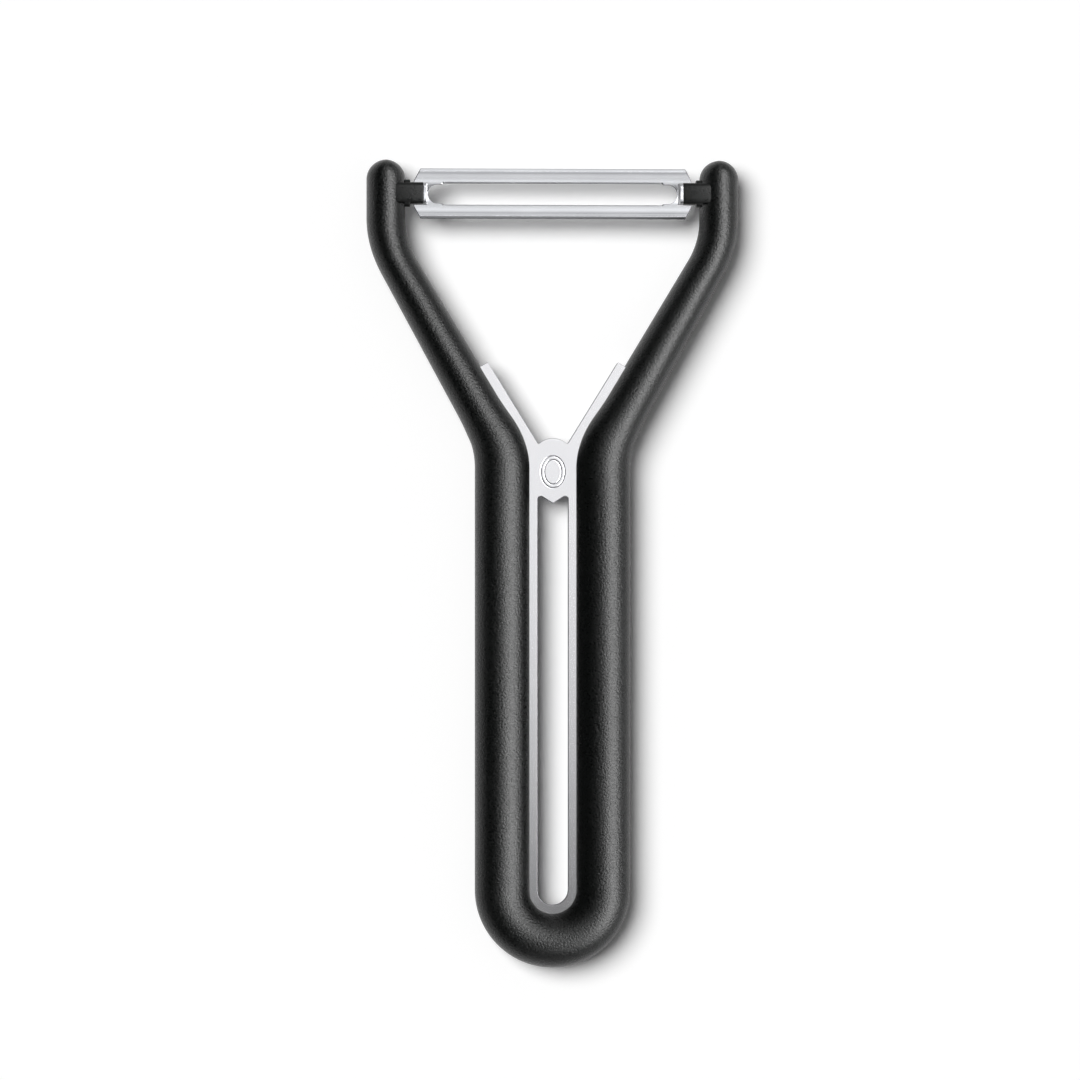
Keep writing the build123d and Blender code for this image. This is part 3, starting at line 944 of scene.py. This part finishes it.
def spread(node, value, low, high):
    """A noise's value, which mostly lies between noise_low and noise_high, spread over the
    range from low to high."""
    limits = {"Value": value, "From Min": noise_low, "From Max": noise_high,
              "To Min": low, "To Max": high}
    return node("ShaderNodeMapRange", limits).outputs["Result"]


def blended(node, share, low, high):
    """A colour that goes from low to high with a share."""
    mix = node("ShaderNodeMix", {"Factor": share, "A": low, "B": high}, data_type="RGBA")
    return mix.outputs["Result"]


def summed(node, first, second):
    """The sum of two values."""
    return node("ShaderNodeMath", {0: first, 1: second}).outputs["Value"]


def bumped(node, height, strength, distance):
    """The surface's direction, tilted as a pattern of the given height would tilt it."""
    bump = node("ShaderNodeBump", {"Height": height, "Strength": strength, "Distance": distance})
    return bump.outputs["Normal"]


# %% Black plastic of the shells and the pins
plastic_tones = ((0.0012, 0.0015, 0.0014, 1), (0.0034, 0.0038, 0.0037, 1))
grain_size = 0.42 * mm
grain_range = 0.08
cloud_range = 0.02


def black_plastic(name, grain_height, gloss, shine):
    """Black plastic with a moulded grain: fine noise drives its bump, its roughness and a trace
    of its colour."""
    material, node, feed = new_material(name)
    grain = noise_on(node, scale=1 / grain_size, detail=3)
    clouds = noise_on(node, scale=60, detail=2)
    uneven = spread(node, grain, -grain_range, grain_range)
    feed({
        "Base Color": blended(node, spread(node, grain, 0, 1), *plastic_tones),
        "Roughness": summed(node, uneven,
                            spread(node, clouds, gloss - cloud_range, gloss + cloud_range)),
        "Normal": bumped(node, grain, strength=1.0, distance=grain_height),
        "Specular IOR Level": shine,
    })
    return material


grained_plastic = black_plastic("grained_black_plastic", 0.13 * mm, gloss=0.31, shine=0.35)
satin_plastic = black_plastic("satin_black_plastic", 0.03 * mm, gloss=0.32, shine=0.2)


# %% Metal that is dull, with painted shade, where it was cut or engraved
# The dark colour painted on cut edges, grooves and the blade's ears is painted shade.
painted_shade_tone = (0.13, 0.13, 0.14, 1)
worked_roughness = 0.4


def feed_metal(node, feed, tone, roughness, normal):
    """Feeds a metal's shader. Sheared and engraved metal is rough, so where the mesh marks it as
    cut or engraved, it turns duller. It also turns darker there: that is painted shade, for the
    dark lines along edges and grooves and the softened glint on the blade's ears."""
    worked_and_shaded = node("ShaderNodeAttribute", attribute_name="worked_and_shaded").outputs["Fac"]
    more = node("ShaderNodeMapRange", {"Value": worked_and_shaded, "To Max": worked_roughness})
    feed({
        "Base Color": blended(node, worked_and_shaded, tone, painted_shade_tone),
        "Roughness": summed(node, roughness, more.outputs["Result"]),
        "Normal": normal,
        "Metallic": 1.0,
    })


# %% Satin silver of the plate
silver_tones = ((0.82, 0.82, 0.842, 1), (0.84, 0.84, 0.862, 1))


def satin_silver(name):
    """Pale metal: a fine noise clouds its roughness and a finer one its surface."""
    material, node, feed = new_material(name)
    clouds = noise_on(node, scale=180, detail=3)
    fine = noise_on(node, scale=9000, detail=2)
    tone = blended(node, spread(node, clouds, 0, 1), *silver_tones)
    normal = bumped(node, fine, strength=0.4, distance=0.001 * mm)
    feed_metal(node, feed, tone, spread(node, clouds, low=0.09, high=0.11), normal)
    return material


silver = satin_silver("satin_silver")


# %% Polished steel of the blade
steel_tones = ((0.60, 0.61, 0.635, 1), (0.64, 0.65, 0.675, 1))


def polished_steel(name):
    """Stainless steel with lines along X: noise drawn out along X, in roughness and surface."""
    material, node, feed = new_material(name)
    lines = noise_on(node, scale=5000, detail=3, stretch=(0.03, 1, 1))
    clouds = noise_on(node, scale=250, detail=2, stretch=(0.3, 1, 1))
    tone = blended(node, spread(node, clouds, 0, 1), *steel_tones)
    normal = bumped(node, lines, strength=0.5, distance=0.0015 * mm)
    feed_metal(node, feed, tone, spread(node, lines, low=0.12, high=0.19), normal)
    return material


steel = polished_steel("polished_steel")

# %% Give each piece its finish and its body, and hide the frame's node that it takes the place of
for piece, node_name, body, slot, material in (
    (handle_front, "handle_front_shell", "handle", "handle_plastic", grained_plastic),
    (handle_back, "handle_back_shell", "handle", "handle_plastic", grained_plastic),
    (plate, "core_plate", "handle", "plate_metal", silver),
    (left_pin, "left_pivot_pin", "handle", "pin_plastic", satin_plastic),
    (right_pin, "right_pivot_pin", "handle", "pin_plastic", satin_plastic),
    (pressed_blade, "blade", "blade", "blade_steel", steel),
):
    piece.data.materials.append(material)
    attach(piece, body)
    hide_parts(node_name)
    # The small bright parts throw no glints on each other in the photograph.
    piece.visible_glossy = piece in (handle_front, handle_back)
    low, high = np.array(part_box(node_name))
    own = np.array([corner[:] for corner in piece.bound_box])
    print(piece.name, "stands inside its node by", np.round((own.min(0) - low) / mm, 2),
          np.round((high - own.max(0)) / mm, 2))

# %% [markdown]
# ## Table and light
# The table is white. The camera sees it at full white except in the shadows. A soft key light
# from the upper left throws the shadows to the lower right. The reflections come from the world,
# which is a studio in one formula: dark on the left, pale overhead, and a bright wall on the
# right.

# %% The table
table_half = 4.0
table_lift = 0.02
table_white = 0.85
table_seen = 1.08


def larger(node, first, second):
    """The larger of two values."""
    return node("ShaderNodeMath", {0: first, 1: second}, operation="MAXIMUM").outputs["Value"]


def mirrored(node, path):
    """1 for a ray that comes from a reflection or through glass, and 0 for others."""
    return larger(node, path.outputs["Is Glossy Ray"], path.outputs["Is Transmission Ray"])


def white_table(half):
    """A floor whose white is lifted for the camera and in reflections, so that it is pure white
    outside the shadows."""
    mesh = bpy.data.meshes.new("table")
    mesh.from_pydata([(-half, -half, 0), (half, -half, 0), (half, half, 0), (-half, half, 0)], [],
                     [(0, 1, 2, 3)])
    table = bpy.data.objects.new("table", mesh)
    bpy.context.scene.collection.objects.link(table)
    material = bpy.data.materials.new("white_table")
    material.use_nodes = True
    material.node_tree.nodes.clear()
    node = node_maker(material.node_tree)
    path = node("ShaderNodeLightPath")
    seen = larger(node, path.outputs["Is Camera Ray"], mirrored(node, path))
    white = node("ShaderNodeMapRange", {"Value": seen, "To Min": table_white, "To Max": table_seen})
    matt = node("ShaderNodeBsdfDiffuse", {"Color": white.outputs["Result"]})
    lift = node("ShaderNodeMath", {0: seen, 1: table_lift}, operation="MULTIPLY")
    glow = node("ShaderNodeEmission", {"Strength": lift.outputs["Value"]})
    both = node("ShaderNodeAddShader", {0: matt.outputs["BSDF"], 1: glow.outputs["Emission"]})
    node("ShaderNodeOutputMaterial", {"Surface": both.outputs["Shader"]})
    mesh.materials.append(material)


white_table(table_half)


# %% The key light
def wide_key(name, towards, spread_angle, level):
    """A far lamp that lights everything alike: it stands towards a direction and is seen under
    spread_angle, which softens the shadows."""
    data = bpy.data.lights.new(name, "SUN")
    data.energy, data.angle = level, radians(spread_angle)
    light = bpy.data.objects.new(name, data)
    bpy.context.scene.collection.objects.link(light)
    light.rotation_mode = "QUATERNION"
    light.rotation_quaternion = Vector(towards).to_track_quat("Z", "Y")
    light.visible_camera = False
    return light


key = wide_key("key", towards=(-0.27, 0.17, 0.6), spread_angle=36, level=2.9)
key.visible_glossy = False

# %% The studio in the reflections
studio_base = 0.005
studio_discs = (  # lean from straight up, azimuth from +X, inner and outer angle, level
    (46, -30, 5, 24, 10.5),
    (46, 0, 5, 24, 5.1),
    (46, 30, 5, 24, 3.3),
    (66, -26, 5, 24, 2.5),
    (26, 0, 4, 20, 7.0),
    (26, 45, 4, 20, 5.7),
    (26, 135, 4, 20, 0.5),
    (10, 90, 9.2, 16.8, 0.98),
    (46, 90, 5, 24, 1.0),
    (66, 77, 5, 24, 0.5),
    (86, 90, 5, 20, 1.15),
    (86, -90, 5, 20, 0.25),
    (46, -90, 5, 24, 0.9),
    (27, -90, 6, 18, 0.45),
    (66, -77, 5, 24, 0.2),
)
world_fill = 0.1


def disc(node, way, lean, azimuth, inner, outer, level):
    """A round light with a soft rim: its level falls from the inner angle to the outer."""
    lean, azimuth = radians(lean), radians(azimuth)
    centre = (sin(lean) * cos(azimuth), sin(lean) * sin(azimuth), cos(lean))
    near = node("ShaderNodeVectorMath", {0: way, 1: centre}, operation="DOT_PRODUCT")
    return node("ShaderNodeMapRange", {
        "Value": near.outputs["Value"], "From Min": cos(radians(outer)),
        "From Max": cos(radians(inner)), "To Min": 0.0, "To Max": level,
    }, interpolation_type="SMOOTHSTEP").outputs["Result"]


def studio_world():
    """Brightness by direction: soft discs of light on a dark ground for reflections, and a low
    steady level for diffuse light."""
    world = bpy.data.worlds.new("studio")
    bpy.context.scene.world = world
    world.use_nodes = True
    world.node_tree.nodes.clear()
    node = node_maker(world.node_tree)
    way = node("ShaderNodeTexCoord").outputs["Generated"]
    bright = studio_base
    for lamp in studio_discs:
        bright = summed(node, bright, disc(node, way, *lamp))
    path = node("ShaderNodeLightPath")
    lit = node("ShaderNodeMix", {"Factor": mirrored(node, path), "A": world_fill, "B": bright})
    level = node("ShaderNodeMix", {"Factor": path.outputs["Is Camera Ray"],
                                   "A": lit.outputs["Result"], "B": 1.0})
    back = node("ShaderNodeBackground", {"Color": (1, 1, 1, 1),
                                         "Strength": level.outputs["Result"]})
    node("ShaderNodeOutputWorld", {"Surface": back.outputs["Background"]})


studio_world()

# %% [markdown]
# ## The camera
# The photograph looks straight down from far away, from a little to the left. A long lens keeps
# the near and far parts at one scale.

# %% Place the camera
frame_width = 220.8 * mm
lens, sensor = 150.0, 36.0
aim = Vector((-2.58 * mm, 4.91 * mm, middle_z))
lean = radians(2.5)
reach = frame_width * lens / sensor
camera_data = bpy.data.cameras.new("camera")
camera_data.lens, camera_data.sensor_width = lens, sensor
camera = bpy.data.objects.new("camera", camera_data)
bpy.context.scene.collection.objects.link(camera)
camera.location = aim + Vector((-sin(lean), 0, cos(lean))) * reach
camera.rotation_euler = (0, -lean, 0)
bpy.context.scene.camera = camera
bpy.context.scene.view_settings.view_transform = "Standard"
print("the camera stands", round(reach, 3), "m away")
